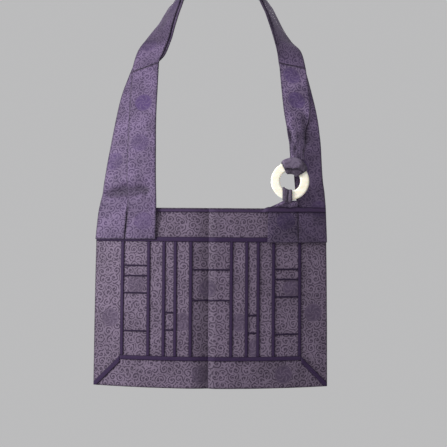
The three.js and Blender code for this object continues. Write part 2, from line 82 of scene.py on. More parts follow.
# ---- the panel ----
WIDTH = 323.5
HEIGHT = 244.5
PANEL_X = -13.6
PANEL_TOP = -340.4
PANEL_Y = -172
ROLL = math.radians(0.4)
HEM_DIP = 3.5
BORDER = 39.1
TOP_BORDER = 43.3
BOTTOM_BORDER = 39.8
UPRIGHT = 4.7
TOP_BAND = 6.8
BOTTOM_BAND = 6.0
MITRE_BAND = 6.4
CROSS_TAPE = 2.2
PIPING = {"drop": 1.5, "height": 4.4, "climb": 5, "reach": 1.5, "shadow_reach": 3.4, "least": 0.8}
PIPING_WAVES = ((0.2, 7.5), (0.12, 2.9))  # the uneven upper edge of the painted shadow drawn with the piping over the right flaps, as shares of its reach and their lengths
PIPING_BUMP = (280, 6, 0.4)  # a bump in that painted shadow: its place, half width and share
CROWN = {"height": 0.12, "width": 1.5}  # how bands swell from their edges
EDGE_INSET = 0.4
CORNERS_IN = {"left": 4.6, "right": 1.8, "across": 20, "down": 26}  # drawn in behind the straps
CREASE_U = WIDTH / 2 - 3
CREASE = {"depthTop": 3.4, "depthHem": 6.4, "leftFlank": 24, "rightFlank": 9, "power": 1.4}
STRAIGHT = (26, 60)  # from the fold, where the bottom border's columns begin to lean with its mitres
FROM_MIDDLE = (-122.6, -86, -64.8, -49, -27.8, 27.8, 49, 64.8, 86, 122.6)
UPRIGHTS = {name: WIDTH / 2 + offset for name, offset in zip("abcdefghij", FROM_MIDDLE)}
COLUMNS = {
    "column_1": [79.5, 93.5, 117, 168.5],
    "column_2_left": [],
    "column_2_middle": [143, 166.5],
    "column_2_right": [],
    "column_3": [84.5, 126],
    "column_4_left": [],
    "column_4_middle": [146, 170],
    "column_4_right": [],
    "column_5": [83.5, 97.3, 121.2, 171.8],
}

# ---- the chest ----
CHEST = {"radiusAtTop": 460, "flatten": 1.8, "tighten": 0.3, "leanBack": 0.0011, "leanOut": 0.035}

# ---- the straps ----
STRAP_WIDTH = 39.5
LAYER = STRAP + LAYER_GAP
LIFT_FADE = (5, 100)  # above the panel's top, where the flaps come back to the chest
STEP_UP = (36, 8)  # below it, where the upper straps climb on the lower ones
GUIDE_STEP = 12  # along the rows that guide the curves into the neck
# Folds of a gathered stretch: how many, how skewed and how sharp, and the skew of the one broad fold.
FOLDS = {"count": 2, "skew": 0.05, "power": 0.8, "broad": 0.62}
SMALL_FOLDS = (0.12, 5, 0.7, 0.1)  # their height, number, start, and fade at the edges
STRAP_PARTS = ("left", "neck", "right")


def rows_of(names, *rows):
    return [dict(zip(names.split(), row)) for row in rows]


LEFT_UPPER = rows_of(
    "z inner outer slant",
    (-383.6, -89.9, -132.3, 0),
    (-341, -88.2, -127.8, 0),
    (-300, -89.0, -129.4, 0),
    (-255, -89.6, -129.4, 0),
    (-215, -89.8, -128.0, 1),
    (-178, -88.4, -126.4, 4),
    (-144, -87.0, -125.6, 14),
)
LEFT_LOWER = rows_of(
    "z inner outer slant",
    (-383.6, -132.8, -173.4, 0),
    (-346, -129.0, -169.2, 0),
    (-322, -123.6, -164.4, 1),
    (-271, -116.6, -156.9, 2),
    (-215, -107.6, -147.2, 5),
    (-178, -100.2, -139.6, 9),
    (-144.5, -89.8, -128.8, 14),
)
RIGHT_LOWER = rows_of(
    "z inner outer slant",
    (-388.6, 105.5, 145.3, 0),
    (-341, 104.9, 143.7, 0),
    (-330, 102.8, 142.9, 0),
    (-300, 100.0, 139.9, 0),
    (-255, 99.0, 138.4, 1),
    (-215, 95.2, 134.6, 2),
    (-178, 88.2, 127.2, 5),
    (-141, 80.8, 118.6, 8),
)
RIGHT_UPPER = rows_of(
    "z inner outer slant fold lift",
    (-277.0, 90.4, 111.2, 0, 2.4, 10.2),
    (-270.0, 91.6, 110.8, 0, 3.0, 9.0),
    (-263, 91.8, 113.2, 0, 3.2, 6.6),
    (-252, 92.2, 114.6, 0, 2.8, 4.0),
    (-240, 90.9, 115.9, 0, 2.4, 2.2),
    (-228, 89.4, 118.2, 1, 1.6, 1.0),
    (-212, 86.8, 122.4, 2, 0.5, 0.3),
    (-185, 84.0, 122.6, 4, 0, 0),
    (-141, 80.6, 118.4, 8, 0, 0),
)
RING_END = rows_of(
    "z inner outer slant fold lift",
    (-388.2, 63.0, 104.9, 0, 0, 0),
    (-347, 63.6, 104.6, 0, 0, 0),
    (-340.2, 65.0, 104.4, 0, 0, 0),
    (-337, 70.6, 104.7, 0, 2.2, 1.2),
    (-333.3, 78.6, 104.5, 0, 3.0, 2.6),
    (-330.4, 83.4, 103.8, 0, 2.6, 3.6),
)
# Round the neck: x, y and z, which way a strap faces and leans there, and how far the lower one slips.
LEFT_NECK = (
    (-99.4, -105, -121, 19, 29, -2.5),
    (-89.6, -91, -101.5, 33, 31, -3),
    (-82.2, -79, -84.4, 49, 34, -4),
    (-75.4, -68, -69.5, 62, 36, -5),
    (-68.3, -54, -51.5, 70, 37, -6),
    (-62, -41, -36.1, 81, 36, -6),
    (-49, -22, -18.5, 118, 30, -4),
    (-27, -6, -5.5, 150, 22, -2),
)
RIGHT_NECK = (
    (95.2, -106, -120.3, 33, 27, -0.6),
    (86.9, -91, -101.5, 56, 31, -2.2),
    (79.4, -79, -84.4, 69, 34, -3.4),
    (73.6, -68, -69.5, 75, 36, -4),
    (66.3, -54, -51.5, 77, 37, -4),
    (60.5, -41, -36.1, 85, 36, -4),
    (49, -22, -18.5, 118, 30, -3),
    (27, -6, -5.5, 150, 22, -1.5),
)
NAPE = (0, 0, 0, 180, 16, 0)

# ---- tones and painted shade ----
# Nearer an edge than FULL_TONE the cloth is darker, partly as a dark seam and partly as painted shade;
# painted shade elsewhere lowers that distance further.
FULL_TONE = 2.3  # distance from an edge at which the cloth has its full colour

# ---- the ring ----
RING = {"x": 94.7, "y": -168.2, "z": -303.2, "outer": 26.4, "inner": 14, "thick": 6.4, "round": 2.4}
RING_SIDES = 144
# Cloth drawn round it. The knot lies between two angles, counted up from the right, and the loop between two
# places across. Each has its thickness on the outer rim at its start, middle and end, in the hole and on the
# faces, and the tone of the painted shade over it.
KNOT = {"start": 31.5, "end": 116.5, "rim": (0.7, 6.6, 2.4), "hole": 4.4, "face": 4.0, "tone": FULL_TONE}
LOOP = {"start": 97.6, "end": 84.0, "rim": (3.4, 3.6, 3.0), "hole": 2.4, "face": 3.0, "tone": 0.95}
SNUG = 0.25  # between the ring and that cloth
SECTION_LENGTH = 62  # of that cloth, round the ring's section
SECTION_STEPS = 96
SLEEVE_STEP = 0.7
SLEEVE_END = 2.2  # how far its ends round away
SLEEVE_LEAST = 0.2  # from this share of their thickness

# ---- creases ----
# Soft troughs (depth above 0) and ridges (below 0), each along its own line: its middle, its half length,
# its half width, and the angle of its line up from the horizontal.
CREASE_BEND = (0.12, 2.2)  # how far one bends off its line, as a share of its width, and how often
CREASE_FADE = 0.35  # the share of its half length at which it begins to fade
PANEL_CREASES = (
    (30, -118, 34, 9, 0.5, 78),
    (18, -196, 26, 8, 0.7, 60),
    (62, -226, 34, 10, -0.8, 8),
    (112, -215, 30, 9, 0.6, 82),
    (205, -222, 26, 8, 0.7, 74),
    (232, -130, 52, 14, 0.5, 86),
    (262, -232, 30, 9, -0.8, 6),
    (300, -96, 44, 10, 0.7, 84),
    (312, -176, 38, 8, -0.8, 80),
    (296, -214, 22, 8, 0.7, 48),
    (130, -70, 40, 12, -0.5, 88),
    (195, -60, 30, 10, 0.45, 70),
)
# On the chest, across is x and up is z.
STRAP_CREASES = (
    (-129, -318, 44, 8.0, 5.6, 3),
    (-128, -303, 34, 8.0, -1.6, 4),
    (-133, -310, 11, 2.4, 2.0, 26),
    (-109, -325, 10, 3.5, -1.0, 84),
    (-103, -322, 10, 2.4, 1.0, 82),
    (-140, -330, 16, 8, -0.8, 12),
    (-112, -340, 22, 7, -0.7, -4),
    (-148, -292, 22, 8, 0.7, 66),
    (-100, -282, 24, 9, -0.6, 84),
    (-131, -243, 26, 7, 0.6, 70),
    (-94, -214, 20, 8, 0.5, -72),
    (-116, -170, 18, 7, -0.6, 60),
    (118, -330, 22, 7, 0.9, 8),
    (133, -318, 18, 7, -0.8, 14),
    (128, -282, 26, 7, 0.8, 82),
    (136, -252, 16, 6, -0.6, 76),
    (124, -222, 20, 6, 0.8, 70),
    (119, -196, 16, 6, -0.6, 62),
    (99, -196, 22, 7, 0.6, -68),
    (104, -222, 12, 4, 0.9, 52),
    (116, -231, 33, 5.0, 3.8, 91),
    (95.4, -242, 15, 3.0, 4.4, -80),
    (98, -264, 9, 2.6, 2.6, 60),
    (111.5, -264, 10, 2.6, 2.6, 100),
    (92, -165, 16, 6, 0.5, 74),
)
# Round the neck, across is from the inner edge and up is along the strap from its left seam.
NECK_CREASES = {
    "strap_lower_neck": (
        (8, 70, 26, 6, 0.6, 74),
        (30, 128, 30, 7, -0.6, 98),
        (12, 212, 22, 6, 0.7, 24),
        (28, 262, 26, 6, 0.5, 70),
        (10, 352, 28, 7, -0.6, 104),
        (30, 402, 20, 6, 0.6, 82),
    ),
    "strap_upper_neck": (
        (22, 32, 22, 7, 0.7, 18),
        (12, 84, 28, 7, -0.7, 78),
        (31, 132, 24, 6, 0.6, 102),
        (16, 196, 20, 6, 0.8, 14),
        (26, 238, 30, 7, -0.6, 86),
        (10, 292, 24, 6, 0.7, 66),
        (30, 356, 28, 7, 0.6, 98),
        (18, 414, 20, 6, -0.7, 22),
    ),
}

# ---- medallions of the figured cloth ----
# On the panel by u and -v, on the straps by how far they lie from the inner edge and along the strap. The
# third number is how strongly one shows.
MEDALLIONS = {
    "border_left": [(22.7, -151.3, 0.55)],
    "border_right": [(303.5, -142.9, 0.9)],
    "border_bottom": [(148, -226, 0.6), (262, -226, 0.9)],
    "column_1": [(58.3, -105.2, 0.5)],
    "column_2_right": [(123, -155, 0.6)],
    "column_3": [(157, -110, 0.8)],
    "column_4_left": [(201, -156, 0.7)],
    "column_4_middle": [(223.7, -190.4, 0.8)],
    "column_5": [(272.9, -109.4, 0.8)],
    "strap_upper_left": [(17.2, 25.3, 0.4), (22, 134, 0.45), (19.6, 192, 1.0)],
    "strap_lower_left": [(31, 110, 0.5), (12, 196, 0.4)],
    "strap_lower_neck": [(12, 60, 0.6), (28, 150, 0.8), (10, 240, 0.5), (28, 318, 0.7)],
    "strap_upper_neck": [(28, 40, 0.4), (12, 118, 0.7), (27, 205, 0.9), (11, 290, 0.6)],
    "strap_lower_right": [(26, 46, 0.4), (9, 150, 0.6), (30, 208, 0.5)],
    "strap_upper_right": [(16.4, 16, 0.7), (20.4, 53, 0.8)],
    "strap_ring_end": [(23.3, 32, 0.6)],
}
FAR_AWAY = (1e4, 1e4, 0)  # for a piece that has none

# Painted shade on stretches of a strap that lie in shade: from and to how far along it, and the tone, below
# FULL_TONE.
SHADED_STRETCHES = {
    "strap_lower_right": (206, 400, 1.15),
    "strap_ring_end": (10, 100, 0.62),
    "strap_upper_right": (98, 200, 1.3),
    "strap_lower_neck": (-20, 500, 1.0),
    "strap_upper_neck": (42, 412, 1.15),
}
SHADE_FADE = 8
CREASE_SHADE = (0.8, 3.6, 0.9)  # painted shade in a crease: from and to which depth, and how deep a tone
VALLEY_SHADE_TONE = (3.2, 5.6, 0.3)  # and painted shade where it lies in a valley of the gathered cloth
FOLD_SHADE = (6, 22, 1.5)  # painted shade by the distance from the panel's stored fold, as in a crease
HEM_END_SHADE = {"across": (150, 240), "down": (196, 214), "tone": 1.6}  # painted shade towards the right end of the bottom border


# ---- small tools ----
def lerp(a, b, t):
    return a + (b - a) * t


def smooth(x, a, b):
    t = np.clip((x - a) / (b - a), 0, 1)
    return t * t * (3 - 2 * t)


def steps(a, b, step, fixed=()):
    """Numbers from a to b, at most about step apart, with those in fixed that lie between them."""
    apart = 0.3
    stops = [a, *sorted(x for x in fixed if a + apart < x < b - apart), b]
    parts = [np.linspace(p, q, max(1, round((q - p) / step)) + 1)[1:] for p, q in zip(stops, stops[1:])]
    return np.concatenate([[a], *parts])


def edged(a, b, edge=ROUND["cloth"], fixed=(), step=FINE):
    """The same, with finer steps where a folded edge rounds away."""
    near = [edge * part for part in ROUND_STEPS[:-1]]
    inner = steps(a + edge, b - edge, step, fixed)
    return np.concatenate([[a, *(a + d for d in near)], inner, [b, *(b - d for d in near)][::-1]])


def stacked(*parts):
    return np.stack(np.broadcast_arrays(*parts), axis=-1)


def unit(v):
    return v / np.maximum(np.linalg.norm(v, axis=-1, keepdims=True), 1e-12)


def normals(grid):
    """Outward normals of a grid of points, where rows x columns points outward."""
    wide = np.pad(grid, ((1, 1), (1, 1), (0, 0)), "edge")
    return unit(np.cross(wide[2:, 1:-1] - wide[:-2, 1:-1], wide[1:-1, 2:] - wide[1:-1, :-2]))


def runs(grid, axis=0):
    """How far each point of a grid lies along its column, or along its row."""
    length = np.linalg.norm(np.diff(grid, axis=axis), axis=-1)
    before = [(int(k == axis), 0) for k in range(length.ndim)]
    return np.cumsum(np.pad(length, before), axis=axis)


def rim_distance(grid):
    """How far each point of a grid lies from its nearest edge."""
    down, over = runs(grid), runs(grid, 1)
    return np.minimum.reduce([down, down[-1] - down, over, over[:, -1:] - over])


def hermite(t, a, slope_a, b, slope_b):
    """The smooth curve from a to b that leaves and arrives with given slopes."""
    return (
        (2 * t**3 - 3 * t**2 + 1) * a
        + (t**3 - 2 * t**2 + t) * slope_a
        + (3 * t**2 - 2 * t**3) * b
        + (t**3 - t**2) * slope_b
    )


def from_table(rows, key, z):
    """A value from a table of rows, at a height z, by a smooth curve through the rows."""
    k = sum(z > row["z"] for row in rows[1:-1])
    before, a, b, after = [rows[0], *rows, rows[-1]][k : k + 4]
    span = b["z"] - a["z"]
    slope = lambda p, q: (q[key] - p[key]) / (q["z"] - p["z"]) * span
    return hermite((z - a["z"]) / span, a[key], slope(before, b), b[key], slope(a, after))


def curve_point(points, k, w):
    """A point of the centripetal Catmull-Rom curve through the points, at w from 0 to 1 after point k."""
    p0, p1, p2, p3 = points[k - 1 : k + 3]
    d0, d1, d2 = (np.linalg.norm(q - p) ** 0.5 for p, q in ((p0, p1), (p1, p2), (p2, p3)))
    m1 = d1 * ((p1 - p0) / d0 - (p2 - p0) / (d0 + d1) + (p2 - p1) / d1)
    m2 = d1 * ((p2 - p1) / d1 - (p3 - p1) / (d1 + d2) + (p3 - p2) / d2)
    return hermite(w, p1, m1, p2, m2)


def relief(rows, across, up):
    """How far hand-placed creases raise the cloth at a place."""
    total = np.zeros(np.broadcast(across, up).shape)
    share, often = CREASE_BEND
    for x, y, half, width, depth, slope in rows:
        angle = math.radians(slope)
        dx, dy = across - x, up - y
        along = dx * math.cos(angle) + dy * math.sin(angle)
        bend = share * width * np.sin(along / half * often + x)
        beside = dy * math.cos(angle) - dx * math.sin(angle) + bend
        fade = 1 - smooth(np.abs(along) / half, CREASE_FADE, 1)
        total -= depth * fade * np.exp(-((beside / width) ** 2))
    return total


# ---- pieces ----
def shell(grid, near, far, edge, at=None):
    """A closed wall of cloth over a grid, from height near to height far, whose edges are folded round.
    Returns its points, its quads, and for each quad the grid's points under it."""
    other_way = [0, 3, 2, 1]
    at = normals(grid) if at is None else at
    inward = np.clip(rim_distance(grid) / edge, 0, 1)
    full = np.sqrt(1 - (1 - inward) ** 2)
    middle, half = (near + far) / 2, (far - near) / 2
    high = grid + at * (middle + half * full)[..., None]
    low = grid + at * (middle - half * full)[..., None]
    rows, columns = full.shape
    place = np.arange(rows * columns).reshape(rows, columns)
    under = place.copy()
    under[1:-1, 1:-1] += rows * columns
    corners = lambda ids: [ids[:-1, :-1], ids[1:, :-1], ids[1:, 1:], ids[:-1, 1:]]
    quads, below = (stacked(*corners(ids)).reshape(-1, 4) for ids in (place, under))
    faces = np.concatenate([quads, below[:, other_way]])
    source = np.concatenate([quads, quads[:, other_way]])
    points = np.concatenate([high.reshape(-1, 3), low.reshape(-1, 3)])
    used, faces = np.unique(faces, return_inverse=True)
    return points[used], faces.reshape(-1, 4), source


def hollow(grid, near, far, at):
    """The same with a flat hollow inside, as a tube of cloth that is pressed flat."""
    outer = shell(grid, near, far, ROUND["strap"], at)
    pick = np.ix_(*(np.r_[3 : count - 3 : 2] for count in grid.shape[:2]))
    inner = shell(grid[pick], near[pick] + SKIN, far[pick] - SKIN, SKIN, at[pick])
    source = np.arange(grid.shape[0] * grid.shape[1]).reshape(grid.shape[:2])[pick].ravel()
    points = np.concatenate([outer[0], inner[0]])
    faces = np.concatenate([outer[1], inner[1][:, ::-1] + len(outer[0])])
    return points, faces, np.concatenate([outer[2], source[inner[2]][:, ::-1]])


def placed(name, data):
    made = bpy.data.objects.new(name, data)
    bpy.context.scene.collection.objects.link(made)
    return made


def add_piece(name, node, made, uv, material, centres=None, edge_and_shade=None):
    """A piece that stands for a CAD node, with its cloth's own coordinates, and for figured cloth the way
    from the nearest medallion, how strongly that shows, and the distance from the piece's edge, lowered
    where painted shade darkens the cloth."""
    points, faces, source = made
    mesh = bpy.data.meshes.new(name)
    mesh.from_pydata((points * MM).tolist(), [], faces.tolist())
    mesh.polygons.foreach_set("use_smooth", np.ones(len(faces), bool))
    lay = lambda layer, places: mesh.uv_layers.new(name=layer).uv.foreach_set(
        "vector", places.astype(np.float32).ravel()
    )
    corners = uv.reshape(-1, 2)[source]
    lay("cloth", corners)
    if centres is not None:
        spots = np.array(centres or [FAR_AWAY], float)
        away = np.linalg.norm(corners.mean(axis=1)[:, None] - spots[None, :, :2], axis=-1)
        nearest = spots[away.argmin(axis=1)][:, None]
        lay("motif", corners - nearest[..., :2])
        lay("edge", stacked(nearest[..., 2], edge_and_shade.ravel()[source]))
    mesh.materials.append(material)
    mesh.update()
    piece = placed(name, mesh)
    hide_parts(node)
    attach(piece, "root")
    return piece


# ---- surfaces ----
def chest_radius(z):
    down = PANEL_TOP - z
    return CHEST["radiusAtTop"] + down * np.where(down > 0, CHEST["flatten"], CHEST["tighten"])


def chest_point(x, z):
    up, down = np.maximum(0, z - PANEL_TOP), np.maximum(0, PANEL_TOP - z)
    radius = chest_radius(z)
    bow = radius - np.sqrt(radius**2 - (x - PANEL_X) ** 2)
    y = PANEL_Y + bow + CHEST["leanBack"] * up**2 - CHEST["leanOut"] * down
    return stacked(x, y, z).astype(float)


def crease_depth(u, v):
    side = np.where(u < CREASE_U, CREASE["leftFlank"], CREASE["rightFlank"])
    near = np.maximum(0, 1 - np.abs(u - CREASE_U) / side)
    return lerp(CREASE["depthTop"], CREASE["depthHem"], v / HEIGHT) * near ** CREASE["power"]


def corner_shift(u, v):
    """How far the panel's upper corners are drawn in."""
    near = lambda distance: np.maximum(0, 1 - distance / CORNERS_IN["across"])
    high = np.maximum(0, 1 - v / CORNERS_IN["down"])
    return high * (CORNERS_IN["left"] * near(u) - CORNERS_IN["right"] * near(WIDTH - u))


def panel_point(u, v):
    u, v = np.broadcast_arrays(np.asarray(u, float), np.asarray(v, float))
    radius = chest_radius(PANEL_TOP - v)
    across = radius * np.sin((u - WIDTH / 2) / radius)
    sag = HEM_DIP * (v / HEIGHT) ** 2 * (1 - (2 * u / WIDTH - 1) ** 2)
    x = PANEL_X + across * math.cos(ROLL) - v * math.sin(ROLL) + corner_shift(u, v)
    z = PANEL_TOP - v * math.cos(ROLL) - across * math.sin(ROLL)
    point = chest_point(x, z)
    point[..., 1] += crease_depth(u, v) - relief(PANEL_CREASES, u, -v)
    point[..., 2] -= sag
    return point


def flap_lift(z):
    return FLAP_BASE * (1 - smooth(z, PANEL_TOP + LIFT_FADE[0], PANEL_TOP + LIFT_FADE[1]))


# ---- materials ----
SCROLL_CELL = 10.2  # one spiral of the vine scroll
SCROLL_PITCH = 3.5  # from one stroke of a spiral to the next
SCROLL_JITTER = 0.62
SCROLL_BLEND = 0.3  # from the line between two spirals, where they run together
STROKE = (-0.05, 0.5)  # of a wave from -1 to 1, from clear to dark
EYE_EDGE = (0.15, 0.10)
STROKE_BREAKS = (0.24, 0.67, 0.61)  # the scale of their noise for each mm, and its bounds
# A medallion's distances outward, with a petal bending by its whole width over curl.
MEDALLION = {"radius": 12.3, "rim": 10.8, "petals": 6, "curl": 8.0, "boss": 2.0}
PETAL_RING = ((3.4, 4.0), (9.6, 9.0))
WEAVE = 0.45  # from one yarn to the next, drawn coarser than the real 0.1 so that it shows
STITCHES = {"in": 0.62, "apart": 3.2}  # from a band's edge, and from one to the next
WOBBLE = (0.16, 3.0)  # the scale and the reach, in mm, of what makes the scroll uneven
CLOUDS = 0.035  # scales of the mottling and of the fibres
FIBRES = {"figured": 1.6, "plain": 1.1}
BUMPS = {"figure": 8e-5, "yarns": 3e-5, "stitch": -12e-5, "rib": 2e-5, "grain": 3e-5}  # in metres
TURN = 2 * math.pi


class Net:
    """Short words for the nodes of a material."""

    def __init__(self, name):
        self.material = bpy.data.materials.new(name)
        self.material.use_nodes = True
        self.tree = self.material.node_tree
        self.shader = self.tree.nodes["Principled BSDF"]

    def put(self, value, socket):
        if isinstance(value, bpy.types.NodeSocket):
            self.tree.links.new(value, socket)
        else:
            socket.default_value = (*value, 1) if socket.type == "RGBA" else value

    def node(self, kind, inputs=(), **properties):
        """A node with these properties, and its inputs by their places or names."""
        made = self.tree.nodes.new("ShaderNode" + kind)
        for key, value in properties.items():
            setattr(made, key, value)
        for key, value in inputs.items() if isinstance(inputs, dict) else enumerate(inputs):
            self.put(value, made.inputs[key])
        return made

    def math(self, operation, *values, clamp=False):
        return self.node("Math", values, operation=operation, use_clamp=clamp).outputs[0]

    def times(self, a, b):
        return self.math("MULTIPLY", a, b)

    def less(self, a, b):
        return self.math("SUBTRACT", a, b)

    def times_plus(self, a, b, c):
        return self.math("MULTIPLY_ADD", a, b, c)

    def off(self, value, centre):
        return self.math("ABSOLUTE", self.less(value, centre))

    def cosine(self, turns):
        return self.math("COSINE", self.times(turns, TURN))

    def vector(self, operation, *values):
        made = self.node("VectorMath", values, operation=operation)
        return made.outputs["Value" if operation == "LENGTH" else "Vector"]

    def scaled(self, value, factor):
        return self.vector("MULTIPLY", value, (factor, factor, factor))

    def parts(self, value):
        return self.node("SeparateXYZ", [value]).outputs

    def soft(self, value, low, high, to=(0.0, 1.0)):
        inputs = (value, low, high, *to)
        return self.node("MapRange", inputs, interpolation_type="SMOOTHSTEP").outputs[0]

    def mix(self, factor, a, b):
        return self.node("Mix", {0: factor, 6: a, 7: b}, data_type="RGBA").outputs[2]

    def noise(self, place, scale, detail=2.0, roughness=0.5):
        inputs = {"Vector": place, "Scale": scale, "Detail": detail, "Roughness": roughness}
        return self.node("TexNoise", inputs).outputs["Fac"]

    def uv(self, name):
        return self.node("UVMap", uv_map=name).outputs[0]

    def bump(self, height, distance, after=None):
        inputs = {"Distance": distance, "Height": height, **({"Normal": after} if after else {})}
        return self.node("Bump", inputs).outputs[0]

    def set(self, **values):
        for key, value in values.items():
            self.put(value, self.shader.inputs[key.replace("_", " ")])


def polar(net, place):
    """The distance from the place's origin and the turn round it, from -0.5 to 0.5."""
    x, y, _ = net.parts(place)
    return net.vector("LENGTH", place), net.math("DIVIDE", net.math("ARCTAN2", y, x), TURN)


def scrolls(net, place):
    """The vine scroll: a field of spirals, each turning its own way, whose strokes run into their
    neighbours'. 1 on a dark stroke and in the eyes, 0 on the ground."""
    cells = net.scaled(place, 1 / SCROLL_CELL)
    waves, far = [], []
    for feature in ("F1", "F2"):
        inputs = {"Vector": cells, "Scale": 1, "Randomness": SCROLL_JITTER}
        spots = net.node("TexVoronoi", inputs, voronoi_dimensions="2D", feature=feature)
        radius, turn = polar(net, net.vector("SUBTRACT", cells, spots.outputs["Position"]))
        hand, start, _ = net.parts(spots.outputs["Color"])
        hand = net.times_plus(net.math("GREATER_THAN", hand, 0.5), 2, -1)
        phase = net.times_plus(radius, SCROLL_CELL / SCROLL_PITCH, start)
        waves.append(net.cosine(net.times_plus(hand, turn, phase)))
        far.append(radius)
    share = net.times(net.less(far[1], far[0]), -1 / SCROLL_BLEND)
    share = net.times(net.math("ADD", share, 1, clamp=True), 0.5)
    wave = net.times_plus(net.less(waves[1], waves[0]), share, waves[0])
    dark = net.math("MAXIMUM", net.soft(wave, *STROKE), net.soft(far[0], *EYE_EDGE))
    scale, *bounds = STROKE_BREAKS
    return net.times(dark, net.soft(net.noise(place, scale, 0.0), *bounds))


def medallions(net, place):
    """A round medallion of a plain sort: a rim, a ring of curved petals and a boss. Returns where it lies
    and where its light strokes are."""
    radius, turn = polar(net, place)
    inside = net.soft(radius, MEDALLION["radius"], MEDALLION["radius"] - 0.5)
    rim = net.soft(net.off(radius, MEDALLION["rim"]), 0.75, 0.35)
    phase = net.times_plus(turn, MEDALLION["petals"], net.math("DIVIDE", radius, MEDALLION["curl"]))
    within = net.times(*(net.soft(radius, *bounds) for bounds in PETAL_RING))
    petals = net.times(net.soft(net.cosine(phase), 0.25, 0.7), within)
    boss = net.soft(net.off(radius, MEDALLION["boss"]), 0.8, 0.4)
    return inside, net.math("MAXIMUM", net.math("MAXIMUM", rim, petals), boss)


def yarns(net, place):
    """The weave: warp and weft crossing, from -1 to 1."""
    warp, weft = (net.math("SINE", net.times(one, TURN / WEAVE)) for one in net.parts(place)[:2])
    return net.times(warp, weft)


def figured_cloth(name, light, dark, contrast, badge_tint, mottle):
    """Two-tone damask: matt ground, satin strokes, medallions, and yarns that vary a little. It is darker
    along its edges and seams, partly as dark seams and partly as painted shade, and painted shade also
    darkens it in creases, folds and stretches that lie in shade."""
    net = Net(name)
    place = net.uv("cloth")
    wobble = net.node("TexNoise", {"Vector": place, "Scale": WOBBLE[0]}, noise_dimensions="2D")
    drift = net.scaled(net.vector("SUBTRACT", wobble.outputs["Color"], (0.5, 0.5, 0.5)), WOBBLE[1])
    stroke = scrolls(net, net.vector("ADD", place, drift))
    inside, lines = medallions(net, net.uv("motif"))
    strength, edge_and_shade, _ = net.parts(net.uv("edge"))
    inside = net.times(inside, strength)
    badge = net.times_plus(lines, -0.85, 1.0)
    figure = net.times(net.times_plus(net.less(badge, stroke), inside, stroke), contrast)
    ground = net.mix(net.times(inside, 0.5), light, badge_tint)
    colour = net.mix(figure, ground, net.mix(inside, dark, badge_tint))
    cloud = net.noise(place, CLOUDS, 3.0)
    fibre = net.noise(place, FIBRES["figured"], 2.0, 0.7)
    cloudy = net.soft(cloud, 0.32, 0.68, (1 - mottle, 1 + 0.5 * mottle))
    tone = net.math("ADD", cloudy, net.soft(fibre, 0.2, 0.8, (-0.1, 0.1)))
    # Painted shade: the colour darkens near edges and seams, and wherever painted shade lowers the edge
    # layer's second number.
    tone = net.times(tone, net.soft(edge_and_shade, 0.2, FULL_TONE, (0.38, 1.0)))
    toned = net.node("VectorMath", {0: colour, "Scale": tone}, operation="SCALE")
    net.set(
        Base_Color=toned.outputs[0],
        Roughness=net.soft(figure, 0, 1, (0.5, 0.66)),
        Normal=net.bump(figure, BUMPS["figure"], net.bump(yarns(net, place), BUMPS["yarns"])),
        Sheen_Weight=0.1,
        Sheen_Roughness=0.4,
        Sheen_Tint=(0.86, 0.74, 1.0),
        Specular_IOR_Level=0.14,
    )
    return net.material


def plain_cloth(name, colour, shade_and_stitch_colour):
    """Dark ribbon-like cloth with painted shade along its folded edges, where they round away, and a row of
    small stitches near them. Its first coordinate runs along the band, and its second is the distance from
    the nearest long edge."""
    net = Net(name)
    place = net.uv("cloth")
    along, inward, _ = net.parts(place)
    shade = net.soft(inward, 0.2, 1.2)
    fibre = net.soft(net.noise(place, FIBRES["plain"], 3.0, 0.7), 0.2, 0.8, (0.7, 1.0))
    colour = net.mix(net.times(shade, fibre), shade_and_stitch_colour, colour)
    row = net.soft(net.off(inward, STITCHES["in"]), 0.22, 0.08)
    dash = net.soft(net.math("COSINE", net.times(along, TURN / STITCHES["apart"])), 0.5, 0.8)
    stitch = net.times(row, dash)
    rib = net.math("SINE", net.times(net.math("ADD", along, inward), TURN / WEAVE))
    net.set(
        Base_Color=net.mix(net.times(stitch, 0.5), colour, shade_and_stitch_colour),
        Roughness=0.62,
        Normal=net.bump(stitch, BUMPS["stitch"], net.bump(rib, BUMPS["rib"])),
        Sheen_Weight=0.06,
        Sheen_Roughness=0.35,
        Sheen_Tint=(0.8, 0.66, 1.0),
        Specular_IOR_Level=0.12,
    )
    return net.material


def ivory(name):
    """Ivory-coloured resin with a faint warm grain."""
    net = Net(name)
    place = net.node("TexCoord").outputs["Object"]
    grain = net.noise(net.vector("MULTIPLY", place, (60, 60, 420)), 1.0, 3.0)
    cloud = net.noise(place, 70, 2.0)
    colour = net.mix(net.soft(grain, 0.35, 0.7), (0.80, 0.775, 0.67), (0.74, 0.68, 0.52))
    net.set(
        Base_Color=net.mix(net.soft(cloud, 0.3, 0.7, (0.0, 0.25)), colour, (0.83, 0.81, 0.73)),
        Roughness=net.soft(grain, 0.2, 0.8, (0.24, 0.34)),
        Normal=net.bump(grain, BUMPS["grain"]),
        Coat_Weight=0.3,
        Coat_Roughness=0.15,
        Subsurface_Weight=0.08,
        Subsurface_Scale=0.004,
    )
    return net.material


